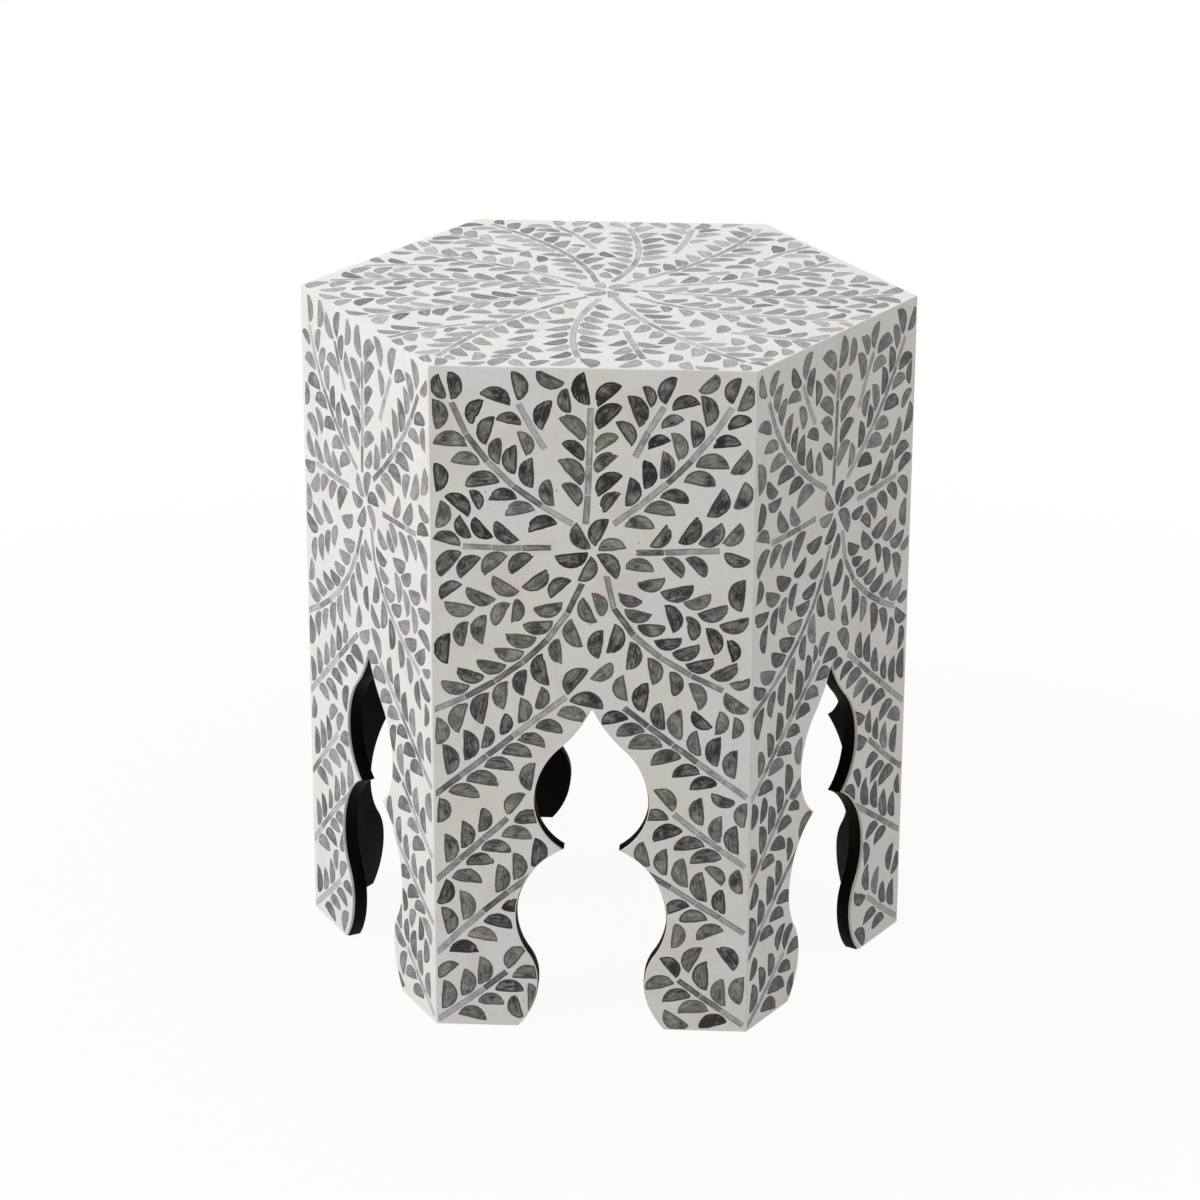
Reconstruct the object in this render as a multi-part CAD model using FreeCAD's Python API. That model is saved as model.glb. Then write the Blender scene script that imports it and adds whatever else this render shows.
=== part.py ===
import FreeCAD, Part
import math
import os

# Mother of pearl side table: a six-sided drum of mitred boards with an arch in every side,
# skinned with poured resin that holds leaves and stems of shell.
# Millimetres, +Z up, origin on the floor below the middle of the top.

# Overall sizes
table_width = 450.0            # across two opposite corners
table_height = 500.0
panel_names = ["front", "front_right", "back_right", "back", "back_left", "front_left"]

# Boards and skins
side_board_thickness = 10.0
top_board_thickness = 15.0
skin_thickness = 2.0           # resin, with the shell flush in it
skin_floor_gap = 1.0           # the boards stand on the floor, the skin stops above it
cut_edge_reveal = 0.6          # black board edge seen round each cutout
corner_ease = 0.25             # taken off the upright corners, measured towards the axis
top_edge_radius = 0.6

# Arch in each panel: widths of the opening and their levels above the floor
foot_gap = 106.0
waist_gap = 76.0
waist_level = 38.0
shoulder_gap = 92.0
shoulder_level = 61.0
lower_lobe_gap = 107.5
lower_lobe_level = 88.0
cusp_gap = 38.8
cusp_level = 141.3
upper_lobe_gap = 80.6
upper_lobe_level = 178.0
flank_gap = 42.0
flank_level = 220.0
flank_bow = 1.5                # the flank swings in before it meets the peak
peak_gap = 2.6
peak_level = 247.0
peak_rise = 1.3                # height of the small round tip

# Corner blocks and cleats inside
corner_block_leg = 36.0        # glued width on each panel
corner_block_height = 170.0
cleat_depth = 20.0
cleat_height = 20.0
cleat_end_clearance = 1.5      # between a cleat and the corner blocks

# Wood screws
screw_shank_diameter = 3.5
screw_head_diameter = 7.0
screw_head_height = 2.2
screw_tip_length = 3.0
screw_recess_width = 0.8
screw_recess_length = 3.6
screw_recess_depth = 1.2
screw_hole_clearance = 0.6     # on the diameter, in the cleats
screw_grip_out = 7.0           # length in the side board
screw_grip_up = 10.0           # length in the top board
out_screw_spacing = 90.0
up_screw_spacing = 44.0

# Shell pieces
leaf_length = 22.4
leaf_belly = 10.4              # height of the round side above the leaf's chord
leaf_flat_bow = 0.6            # height of the flat side below it
leaf_pitch = 16.2              # along a stem, on each of its sides
leaf_wander = 1.1              # how far a leaf strays from its place
stem_width = 4.4
stem_piece_length = 23.0
stem_joint_gap = 0.5
inlay_gap = 0.6                # least resin between two pieces
filler_gap = 1.1               # and round the single leaves that fill the bare places
filler_step = 4.5              # between the places tried for them
rosette_reach = 2.8            # from the middle of a rosette to the base of its leaves
inlay_rim = 0.6                # least resin between a piece and the edge of the skin
edge_cut = 1.5                 # the most that the edge of a skin takes off a leaf
least_piece_width = 2.6        # a clipped piece narrower than this is left out

# Leaves: angles in degrees
leaf_angle = 47.0              # from the stem's direction
leaf_angle_spread = 8.0
tip_leaf_angle = 12.0
top_leaf_share = 0.92          # size of the leaves in the top, of those in the panels
leaf_size_spread_share = 0.12
filler_angle_spread = 50.0
# A leaf that finds no room is tried smaller, further out and turned:
# (share of its size, move outwards as a share of its belly), and a turn for each
leaf_try_shares = [(1.0, 0.0), (1.0, 0.12), (0.95, 0.2), (0.9, 0.1)]
leaf_try_shares += [(0.9, 0.25), (0.82, 0.1), (0.82, 0.3), (0.72, 0.15)]
leaf_try_turns = [0.0, 5.0, -6.0, 4.0, -9.0, 9.0, -8.0, 3.0]
filler_try_shares = [(1.0, 0.0), (0.95, 0.0), (0.9, 0.0), (0.85, 0.0)]
filler_try_turns = [0.0, 12.0, -12.0, 0.0]
least_clipped_share = 0.42
leaf_base_share = 0.3          # how far from a stem's start its first leaf may sit, in pitches

# Counts: how finely lines are measured, and what keeps one kind of stray value from another
branch_steps = 40
arc_steps = 6
angle_series = 50
size_series = 200
side_series = 0.5
seed_stir = 12.9898
number_stir = 78.233
value_stir = 43758.5453

# Panel layout: (share of half the panel's width, share of its height).
# A stem runs through three points, from its root to its tip.
panel_stem_shares = [
    ((-0.04, 0.775), (-0.02, 0.860), (-0.01, 0.944)),
    ((-0.12, 0.775), (-0.60, 0.853), (-0.86, 0.948)),
    ((0.13, 0.776), (0.56, 0.859), (0.85, 0.948)),
    ((-0.25, 0.740), (-0.50, 0.738), (-0.80, 0.739)),
    ((0.27, 0.735), (0.52, 0.737), (0.79, 0.740)),
    ((-0.06, 0.688), (-0.39, 0.577), (-0.99, 0.493)),
    ((0.09, 0.700), (0.27, 0.610), (0.82, 0.532)),
    ((-0.29, 0.883), (-0.38, 0.918), (-0.45, 0.948)),
    ((0.26, 0.874), (0.35, 0.914), (0.44, 0.947)),
    ((-0.99, 0.363), (-0.59, 0.438), (-0.16, 0.518)),
    ((-0.99, 0.230), (-0.76, 0.280), (-0.53, 0.330)),
    ((-0.99, 0.115), (-0.68, 0.185), (-0.36, 0.245)),
    ((-0.99, 0.008), (-0.76, 0.047), (-0.54, 0.088)),
    ((0.98, 0.370), (0.59, 0.435), (0.20, 0.503)),
    ((0.98, 0.262), (0.75, 0.300), (0.52, 0.342)),
    ((0.98, 0.158), (0.66, 0.205), (0.35, 0.250)),
    ((0.98, 0.012), (0.76, 0.047), (0.56, 0.082)),
]

# Runs of leaves with no shell stem between them
panel_leaf_run_shares = [
    ((-0.36, 0.672), (-0.65, 0.650), (-0.95, 0.605)),
    ((0.33, 0.684), (0.60, 0.647), (0.90, 0.610)),
]

# Single leaves: place, direction in degrees from level, and the side that swells (1 left, -1 right)
panel_single_leaf_shares = [
    ((-0.96, 0.818), 95.0, -1),
    ((-0.97, 0.765), 80.0, -1),
    ((-0.70, 0.790), 122.0, -1),
    ((-0.90, 0.772), 15.0, 1),
    ((0.94, 0.868), 82.0, 1),
    ((0.86, 0.802), 68.0, -1),
    ((0.70, 0.790), 62.0, -1),
    ((0.68, 0.775), 8.0, 1),
    ((0.99, 0.785), 150.0, -1),
    ((0.93, 0.650), 85.0, 1),
    ((-0.97, 0.655), 88.0, -1),
    ((-0.30, 0.823), 118.0, -1),
    ((-0.02, 0.684), -57.0, -1),
    ((0.03, 0.566), 95.0, 1),
    ((-0.98, 0.440), 88.0, -1),
    ((-0.98, 0.398), 88.0, -1),
    ((-0.98, 0.318), 88.0, -1),
    ((-0.98, 0.280), 86.0, -1),
    ((-0.98, 0.196), 88.0, -1),
    ((-0.98, 0.155), 88.0, -1),
    ((-0.98, 0.085), 88.0, -1),
    ((-0.98, 0.028), 88.0, -1),
    ((0.88, 0.456), 90.0, -1),
    ((0.97, 0.408), 92.0, 1),
    ((0.97, 0.316), 92.0, 1),
    ((0.97, 0.217), 94.0, 1),
    ((0.97, 0.125), 92.0, 1),
    ((0.97, 0.040), 92.0, 1),
    ((-0.38, 0.372), 82.0, 1),
    ((0.43, 0.372), 118.0, -1),
    ((-0.33, 0.262), 25.0, 1),
    ((0.33, 0.262), 152.0, -1),
    ((0.51, 0.130), 88.0, -1),
    ((-0.55, 0.006), 72.0, 1),
]
panel_rosette_share = (0.01, 0.735)
panel_rosette_angles = [119.0, 62.0, 7.0, -54.0, -125.0, -177.0]

# Top layout: shares of half the table's width, seen from above with the front below
top_stem_shares = [
    ((-0.11, 0.03), (-0.50, 0.09), (-0.91, 0.06)),
    ((-0.12, -0.05), (-0.43, -0.17), (-0.74, -0.36)),
    ((-0.06, -0.08), (-0.30, -0.37), (-0.48, -0.77)),
    ((-0.02, -0.10), (-0.08, -0.43), (-0.05, -0.76)),
    ((0.03, -0.09), (0.19, -0.44), (0.46, -0.77)),
    ((0.09, -0.06), (0.33, -0.22), (0.77, -0.30)),
    ((0.11, 0.00), (0.50, -0.05), (0.92, 0.00)),
    ((0.11, 0.05), (0.47, 0.16), (0.72, 0.40)),
    ((0.06, 0.09), (0.32, 0.41), (0.48, 0.80)),
    ((0.01, 0.10), (0.08, 0.42), (0.03, 0.78)),
    ((-0.04, 0.09), (-0.17, 0.45), (-0.44, 0.80)),
    ((-0.09, 0.06), (-0.34, 0.26), (-0.66, 0.42)),
    ((-0.33, 0.49), (-0.45, 0.57), (-0.57, 0.66)),
    ((-0.56, 0.26), (-0.69, 0.26), (-0.82, 0.24)),
    ((-0.42, -0.42), (-0.54, -0.48), (-0.65, -0.58)),
    ((0.08, -0.46), (0.11, -0.60), (0.15, -0.76)),
    ((0.41, -0.46), (0.56, -0.50), (0.71, -0.54)),
    ((0.50, 0.40), (0.57, 0.50), (0.65, 0.58)),
    ((0.20, 0.46), (0.23, 0.61), (0.25, 0.77)),
    ((-0.07, 0.50), (-0.13, 0.65), (-0.21, 0.78)),
]
top_leaf_run_shares = [
    ((-0.50, -0.11), (-0.70, -0.13), (-0.88, -0.17)),
    ((-0.19, -0.46), (-0.21, -0.62), (-0.25, -0.77)),
    ((0.58, -0.14), (0.74, -0.16), (0.90, -0.16)),
    ((0.66, 0.07), (0.79, 0.13), (0.88, 0.19)),
]
top_single_leaf_shares = [
    ((-0.93, 0.10), 60.0, -1),
    ((0.95, 0.06), 110.0, 1),
    ((-0.72, -0.46), -60.0, 1),
    ((0.62, -0.64), -30.0, 1),
    ((-0.33, -0.78), 20.0, 1),
    ((0.25, -0.80), 165.0, -1),
]
top_rosette_angles = [40.0, 99.0, 156.0, 218.0, 274.0, 343.0]

# Layout values worked out from the sizes above
panel_count = len(panel_names)
half_corner = math.pi / panel_count
full_turn = 360.0
panel_turn = full_turn / panel_count
outer_radius = table_width / 2
outer_apothem = outer_radius * math.cos(half_corner)
board_depth = skin_thickness
inner_depth = skin_thickness + side_board_thickness
top_skin_bottom = table_height - skin_thickness
side_board_height = top_skin_bottom - top_board_thickness
cut_overrun = 2 * inner_depth
cleat_bottom = side_board_height - cleat_height


def half_width(depth):
    """Half of a panel's width, this far in from its outer face."""
    return (outer_apothem - depth) * math.tan(half_corner)


def polygon_prism(points, bottom, top):
    """An upright prism over plan points."""
    ring = [FreeCAD.Vector(x, y, bottom) for x, y in points]
    face = Part.Face(Part.makePolygon(ring + ring[:1]))
    return face.extrude(FreeCAD.Vector(0, 0, top - bottom))


def turned(shape, angle):
    """A copy turned about the table's axis."""
    copy = shape.copy()
    copy.rotate(FreeCAD.Vector(0, 0, 0), FreeCAD.Vector(0, 0, 1), angle)
    return copy


def save(shapes, name):
    """One STEP for each node, from a list of separate solids."""
    solids = [solid for shape in shapes for solid in shape.Solids]
    node = solids[0] if len(solids) == 1 else Part.makeCompound(solids)
    node.exportStep("parts/" + name + ".step")
    print(name, len(solids), "solids, volume", round(node.Volume / 1000, 2), "cm3")


# Flat geometry of the inlay, in plain numbers

def add(point, direction, distance):
    return (point[0] + direction[0] * distance, point[1] + direction[1] * distance)


def heading(angle):
    return (math.cos(angle), math.sin(angle))


def left_of(direction):
    return (-direction[1], direction[0])


def wobble(seed, number):
    """A repeatable stray value between -1 and 1."""
    value = math.sin(seed * seed_stir + number * number_stir) * value_stir
    return 2 * (value - math.floor(value)) - 1


def arc_points(start, middle, end, count):
    """Points along the round arc through three points, without its last one."""
    ax, ay = middle[0] - start[0], middle[1] - start[1]
    bx, by = end[0] - start[0], end[1] - start[1]
    cross = 2 * (ax * by - ay * bx)
    a2, b2 = ax * ax + ay * ay, bx * bx + by * by
    cx, cy = (by * a2 - ay * b2) / cross, (ax * b2 - bx * a2) / cross
    radius = math.hypot(cx, cy)
    first = math.atan2(-cy, -cx)
    sweep = math.atan2(by - cy, bx - cx) - first
    if cross > 0 and sweep < 0:
        sweep += 2 * math.pi
    if cross < 0 and sweep > 0:
        sweep -= 2 * math.pi
    centre = (start[0] + cx, start[1] + cy)
    return [add(centre, heading(first + sweep * i / count), radius) for i in range(count)]


def leaf_shape(base, angle, side, size):
    """A half-moon: a nearly flat arc from base to tip and a round one back."""
    along = heading(angle)
    swell = left_of(along) if side > 0 else left_of((-along[0], -along[1]))
    middle = add(base, along, leaf_length * size / 2)
    tip = add(base, along, leaf_length * size)
    flat = add(middle, swell, -leaf_flat_bow * size)
    round_ = add(middle, swell, leaf_belly * size)
    return [(base, flat, tip), (tip, round_, base)]


def leaf_dip(angle, size):
    """How far a leaf's round side reaches back past its base, towards the stem."""
    chord = leaf_length * size
    belly = leaf_belly * size
    radius = (chord * chord / 4 + belly * belly) / (2 * belly)
    centre = chord / 2 * math.sin(angle) - (belly - radius) * math.cos(angle)
    return max(0.0, radius - centre)


def shape_points(arcs):
    points = []
    for arc in arcs:
        if len(arc) == 3:
            points += arc_points(*arc, arc_steps)
        else:
            points.append(arc[0])
    return points


def clear_of(points, others, gap):
    """True if a convex outline keeps a gap from every other one."""
    low_x = min(x for x, y in points) - gap
    high_x = max(x for x, y in points) + gap
    low_y = min(y for x, y in points) - gap
    high_y = max(y for x, y in points) + gap
    for other, box in others:
        if box[0] > high_x or box[1] < low_x or box[2] > high_y or box[3] < low_y:
            continue
        if max(separation(points, other), separation(other, points)) < gap:
            return False
    return True


def separation(points, other):
    """The widest gap that an edge of the first outline leaves between the two."""
    area = sum(a[0] * b[1] - b[0] * a[1] for a, b in zip(points, points[1:] + points[:1]))
    turn = 1 if area > 0 else -1
    best = -table_width
    for a, b in zip(points, points[1:] + points[:1]):
        length = math.hypot(b[0] - a[0], b[1] - a[1])
        nx, ny = turn * (b[1] - a[1]) / length, turn * (a[0] - b[0]) / length
        best = max(best, min((p[0] - a[0]) * nx + (p[1] - a[1]) * ny for p in other))
    return best


def outline_box(points):
    xs = [x for x, y in points]
    ys = [y for x, y in points]
    return (min(xs), max(xs), min(ys), max(ys))


class Branch:
    """A smooth line through three points, measured along its length."""

    def __init__(self, root, middle, tip):
        pull = (2 * middle[0] - (root[0] + tip[0]) / 2, 2 * middle[1] - (root[1] + tip[1]) / 2)
        self.points = []
        for i in range(branch_steps + 1):
            t = i / branch_steps
            weights = ((1 - t) ** 2, 2 * t * (1 - t), t ** 2)
            x = sum(w * p[0] for w, p in zip(weights, (root, pull, tip)))
            y = sum(w * p[1] for w, p in zip(weights, (root, pull, tip)))
            self.points.append((x, y))
        self.marks = [0.0]
        for a, b in zip(self.points, self.points[1:]):
            self.marks.append(self.marks[-1] + math.hypot(b[0] - a[0], b[1] - a[1]))
        self.length = self.marks[-1]

    def at(self, distance):
        """The point and the direction at a distance from the root."""
        i = 0
        while i < len(self.marks) - 2 and self.marks[i + 1] < distance:
            i += 1
        a, b = self.points[i], self.points[i + 1]
        angle = math.atan2(b[1] - a[1], b[0] - a[0])
        return add(a, heading(angle), distance - self.marks[i]), angle


def stem_shapes(branch):
    """The strips that one stem is pieced from, end to end."""
    count = max(1, round(branch.length / stem_piece_length))
    step = branch.length / count
    strips = []
    for i in range(count):
        start, start_angle = branch.at(i * step + stem_joint_gap / 2)
        end, end_angle = branch.at((i + 1) * step - stem_joint_gap / 2)
        start_side = left_of(heading(start_angle))
        end_side = left_of(heading(end_angle))
        corners = [
            add(start, start_side, -stem_width / 2),
            add(end, end_side, -stem_width / 2),
            add(end, end_side, stem_width / 2),
            add(start, start_side, stem_width / 2),
        ]
        strips.append([(a, b) for a, b in zip(corners, corners[1:] + corners[:1])])
    return strips


def branch_leaf_places(branch, seed, half_stem, leaf_share):
    """Base, angle and swelling side of the leaves on a branch, from its tip back to its root."""
    tip, tip_angle = branch.at(branch.length)
    first_side = 1 if wobble(seed, 0) > 0 else -1
    reach = add(tip, heading(tip_angle), inlay_gap + leaf_wander)
    places = [(reach, tip_angle + first_side * math.radians(tip_leaf_angle), first_side)]
    number = 1
    for side in (-first_side, first_side):
        distance = branch.length - (leaf_pitch / 2 if side == first_side else 0.0)
        while distance > leaf_pitch * leaf_base_share:
            point, angle = branch.at(distance + leaf_wander * wobble(seed, number))
            turn = math.radians(leaf_angle + leaf_angle_spread * wobble(seed, number + angle_series))
            stand_off = half_stem + inlay_gap + leaf_dip(turn, leaf_share)
            base = add(point, left_of(heading(angle)), side * stand_off)
            places.append((base, angle + side * turn, -side))
            distance -= leaf_pitch
            number += 1
    return places


def filler_places(box, centre, seed):
    """Places all over a box in a stray order, each with its leaf pointing away from the centre."""
    places = []
    columns = int((box[1] - box[0]) / filler_step)
    rows = int((box[3] - box[2]) / filler_step)
    for number in range(columns * rows):
        x = box[0] + (number % columns + 0.5) * filler_step
        y = box[2] + (number // columns + 0.5) * filler_step
        away = math.atan2(y - centre[1], x - centre[0])
        angle = away + math.radians(filler_angle_spread * wobble(seed, number))
        side = 1 if wobble(seed, number + side_series) > 0 else -1
        places.append((wobble(seed + 1, number), (x, y), angle, side))
    return [place[1:] for place in sorted(places)]


def reach_past(points, sides):
    """How far an outline reaches past the straight sides of its skin."""
    return max(x * nx + y * ny - limit for (nx, ny), limit in sides for x, y in points)


def fitted_leaf(place, size, taken, sides, gap, tries, turns):
    """The first of a leaf's tries that is clear of what is there, or none."""
    base, angle, side = place
    for (share, move), turn in zip(tries, turns):
        tilted = angle + math.radians(turn) * side
        start = add(base, heading(angle), move * leaf_belly)
        leaf = leaf_shape(start, tilted, side, size * share)
        points = shape_points(leaf)
        if reach_past(points, sides) < edge_cut and clear_of(points, taken, gap):
            taken.append((points, outline_box(points)))
            return leaf
    return None


def place_pieces(stem_lines, run_lines, singles, rosette, sides, box, leaf_share, seed):
    """Outlines of the stems and of the leaves, none nearer to another than the inlay gap."""
    stems = []
    taken = []
    for line in stem_lines:
        for strip in stem_shapes(Branch(*line)):
            points = shape_points(strip)
            stems.append(strip)
            taken.append((points, outline_box(points)))
    wanted = list(rosette)
    for order, line in enumerate(stem_lines + run_lines):
        half_stem = stem_width / 2 if order < len(stem_lines) else 0.0
        wanted += branch_leaf_places(Branch(*line), seed + order, half_stem, leaf_share)
    wanted += singles
    leaves = []
    for number, place in enumerate(wanted):
        size = leaf_share * (1 + leaf_size_spread_share * wobble(seed, number + size_series))
        tries = (inlay_gap, leaf_try_shares, leaf_try_turns)
        leaves.append(fitted_leaf(place, size, taken, sides, *tries))
    for place in filler_places(box, rosette[0][0], seed):
        tries = (filler_gap, filler_try_shares, filler_try_turns)
        leaves.append(fitted_leaf(place, leaf_share, taken, sides, *tries))
    return stems, [leaf for leaf in leaves if leaf]


def outline_face(arcs, to_space):
    """A face from flat arcs and lines, put in space by a function of a point."""
    edges = []
    for arc in arcs:
        ends = [to_space(point) for point in arc]
        if len(ends) == 3:
            edges.append(Part.Arc(*ends).toShape())
        else:
            edges.append(Part.makeLine(*ends))
    return Part.Face(Part.Wire(edges))


def clipped_faces(outlines, region, safe_box, to_space):
    """The faces of the outlines, cut back to the region where they reach its edge."""
    faces = []
    for arcs in outlines:
        face = outline_face(arcs, to_space)
        if safe_box(shape_points(arcs)):
            faces.append(face)
            continue
        for part in face.common(region).Faces:
            size = sorted([part.BoundBox.XLength, part.BoundBox.YLength, part.BoundBox.ZLength])
            if part.Area > least_clipped_share * face.Area and size[1] > least_piece_width:
                faces.append(part)
    return faces


def holed_face(outer, pieces):
    """The skin's face with a hole for every shell piece."""
    facing = Part.Face(outer.OuterWire).normalAt(0, 0)
    wires = [outer.OuterWire]
    for piece in pieces:
        wire = piece.OuterWire
        if Part.Face(wire).normalAt(0, 0).dot(facing) > 0:
            wire.reverse()
        wires.append(wire)
    return Part.Face(wires)


# The front panel is drawn standing at the front, and the others are turned copies.

def on_front(point):
    return FreeCAD.Vector(point[0], -outer_apothem, point[1])


def upright_arc(widest, end):
    """The arc between two points of an outline that stands upright at the first."""
    dx, dz = end[0] - widest[0], end[1] - widest[1]
    reach = (dx * dx + dz * dz) / (2 * dx)
    centre = (widest[0] + reach, widest[1])
    chord = (dx / 2 - reach, dz / 2)
    scale = abs(reach) / math.hypot(*chord)
    return (widest, (centre[0] + chord[0] * scale, centre[1] + chord[1] * scale), end)


def mirrored(arc):
    return tuple((-x, z) for x, z in reversed(arc))


def arch_outline():
    """The opening's outline, from the floor up one side and down the other."""
    foot = (foot_gap / 2, 0.0)
    waist = (waist_gap / 2, waist_level)
    shoulder = (shoulder_gap / 2, shoulder_level)
    lower = (lower_lobe_gap / 2, lower_lobe_level)
    cusp = (cusp_gap / 2, cusp_level)
    upper = (upper_lobe_gap / 2, upper_lobe_level)
    flank = (flank_gap / 2, flank_level)
    peak = (peak_gap / 2, peak_level)
    span = (peak[0] - flank[0], peak[1] - flank[1])
    inward = left_of((span[0] / math.hypot(*span), span[1] / math.hypot(*span)))
    flank_middle = add(((flank[0] + peak[0]) / 2, (flank[1] + peak[1]) / 2), inward, flank_bow)
    below = (foot[0], -cut_overrun)
    right = [
        (below, foot),
        tuple(reversed(upright_arc(waist, foot))),
        upright_arc(waist, shoulder),
        tuple(reversed(upright_arc(lower, shoulder))),
        upright_arc(lower, cusp),
        tuple(reversed(upright_arc(upper, cusp))),
        upright_arc(upper, flank),
        (flank, flank_middle, peak),
    ]
    tip = (peak, (0.0, peak_level + peak_rise), (-peak[0], peak[1]))
    left = [mirrored(arc) for arc in reversed(right)]
    return right + [tip] + left + [((-below[0], below[1]), below)]


def panel_rectangle(half, bottom, top):
    corners = [(-half, bottom), (half, bottom), (half, top), (-half, top)]
    return outline_face(list(zip(corners, corners[1:] + corners[:1])), on_front)


arch_face = outline_face(arch_outline(), on_front)
into_panel = FreeCAD.Vector(0, 1, 0)
skin_outline = panel_rectangle(half_width(0), skin_floor_gap, top_skin_bottom)
skin_outline = skin_outline.cut(arch_face.makeOffset2D(cut_edge_reveal)).Faces[0]
inlay_half_width = half_width(skin_thickness) - inlay_rim
inlay_bottom = skin_floor_gap + inlay_rim
inlay_top = top_skin_bottom - inlay_rim
inlay_region = panel_rectangle(inlay_half_width, inlay_bottom, inlay_top)
inlay_region = inlay_region.cut(arch_face.makeOffset2D(cut_edge_reveal + inlay_rim)).Faces[0]
arch_reach = max(foot_gap, lower_lobe_gap, upper_lobe_gap) / 2 + cut_edge_reveal + inlay_rim
arch_top = peak_level + peak_rise + cut_edge_reveal + inlay_rim


def well_inside_panel(points):
    low_x, high_x, low_z, high_z = outline_box(points)
    in_plate = low_x > -inlay_half_width and high_x < inlay_half_width
    in_plate = in_plate and low_z > inlay_bottom and high_z < inlay_top
    beside_arch = low_x > arch_reach or high_x < -arch_reach or low_z > arch_top
    return in_plate and beside_arch


def panel_point(share):
    return (share[0] * half_width(0), share[1] * table_height)


def rosette_places(centre, angles):
    """Leaves that meet round a point, each with its left side round."""
    places = []
    for angle in angles:
        out = math.radians(angle)
        places.append((add(centre, heading(out), rosette_reach), out, 1))
    return places


def panel_inlay(seed):
    """Stem and leaf faces of one panel, drawn on the front."""
    lines = [[panel_point(share) for share in line] for line in panel_stem_shares]
    runs = [[panel_point(share) for share in line] for line in panel_leaf_run_shares]
    rosette = rosette_places(panel_point(panel_rosette_share), panel_rosette_angles)
    singles = [(panel_point(share), math.radians(a), side) for share, a, side in panel_single_leaf_shares]
    box = (-inlay_half_width, inlay_half_width, inlay_bottom, inlay_top)
    sides = [((1, 0), inlay_half_width), ((-1, 0), inlay_half_width)]
    sides += [((0, 1), inlay_top), ((0, -1), -inlay_bottom)]
    stems, leaves = place_pieces(lines, runs, singles, rosette, sides, box, 1.0, seed)
    stem_faces = clipped_faces(stems, inlay_region, well_inside_panel, on_front)
    leaf_faces = clipped_faces(leaves, inlay_region, well_inside_panel, on_front)
    return stem_faces, leaf_faces


def mitre_waste():
    """What the mitres and the eased corners take off a skin's two ends."""
    corner_flat = corner_ease / math.sin(half_corner)
    eased = outer_radius - corner_ease
    face_point = (half_width(0) - corner_flat, -outer_apothem)
    corner_point = (eased * math.sin(half_corner), -eased * math.cos(half_corner))
    over = skin_thickness
    inner_point = (half_width(2 * skin_thickness), -(outer_apothem - 2 * skin_thickness))
    outward = (face_point[0] - over / math.tan(half_corner), -outer_apothem - over)
    far = half_width(0) + over
    right = [inner_point, corner_point, face_point]
    right += [(face_point[0], outward[1]), (far, outward[1]), (far, inner_point[1])]
    left = [(-x, y) for x, y in right]
    return [polygon_prism(points, -cut_overrun, table_height) for points in (right, left)]


def panel_skin(pieces):
    plate = holed_face(skin_outline, pieces).extrude(into_panel * skin_thickness)
    return plate.cut(mitre_waste())


# Screws stand at the origin with the head down and the tip up.

def screw_profile(length, shank_diameter):
    points = [(0.0, 0.0), (screw_head_diameter / 2, 0.0), (shank_diameter / 2, screw_head_height)]
    points += [(shank_diameter / 2, length - screw_tip_length), (0.0, length)]
    ring = [FreeCAD.Vector(x, 0, z) for x, z in points]
    face = Part.Face(Part.makePolygon(ring + ring[:1]))
    return face.revolve(FreeCAD.Vector(0, 0, 0), FreeCAD.Vector(0, 0, 1), full_turn)


def screw(length):
    body = screw_profile(length, screw_shank_diameter)
    for size in ((screw_recess_length, screw_recess_width), (screw_recess_width, screw_recess_length)):
        corner = FreeCAD.Vector(-size[0] / 2, -size[1] / 2, 0)
        body = body.cut(Part.makeBox(size[0], size[1], screw_recess_depth, corner))
    return body


def out_places(shape):
    """Copies pointing out through the front cleat, into the side board."""
    copies = []
    for x in (-out_screw_spacing / 2, out_screw_spacing / 2):
        copy = shape.copy()
        copy.rotate(FreeCAD.Vector(0, 0, 0), FreeCAD.Vector(1, 0, 0), full_turn / 4)
        seat = inner_depth + cleat_depth - outer_apothem
        copy.translate(FreeCAD.Vector(x, seat, cleat_bottom + cleat_height / 2))
        copies.append(copy)
    return copies


def up_places(shape):
    """Copies pointing up through the front cleat, into the top board."""
    copies = []
    for x in (-up_screw_spacing / 2, up_screw_spacing / 2):
        copy = shape.copy()
        seat = inner_depth + cleat_depth / 2 - outer_apothem
        copy.translate(FreeCAD.Vector(x, seat, cleat_bottom))
        copies.append(copy)
    return copies


def side_board():
    """A mitred board with the arch cut through it."""
    outer, inner = half_width(board_depth), half_width(inner_depth)
    points = [(-outer, board_depth - outer_apothem), (outer, board_depth - outer_apothem)]
    points += [(inner, inner_depth - outer_apothem), (-inner, inner_depth - outer_apothem)]
    board = polygon_prism(points, 0.0, side_board_height)
    board = board.cut(arch_face.extrude(into_panel * cut_overrun))
    pilot = screw_profile(cleat_depth + screw_grip_out, screw_shank_diameter)
    return board.cut(out_places(pilot))


def hexagon(radius, bottom, top):
    points = []
    for k in range(panel_count):
        points.append(add((0.0, 0.0), heading(2 * k * half_corner), radius))
    return polygon_prism(points, bottom, top)


def top_board():
    radius = (outer_apothem - board_depth) / math.cos(half_corner)
    board = hexagon(radius, side_board_height, top_skin_bottom)
    pilot = screw_profile(cleat_height + screw_grip_up, screw_shank_diameter)
    pilots = up_places(pilot)
    return board.cut([turned(p, k * panel_turn) for k in range(panel_count) for p in pilots])


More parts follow.
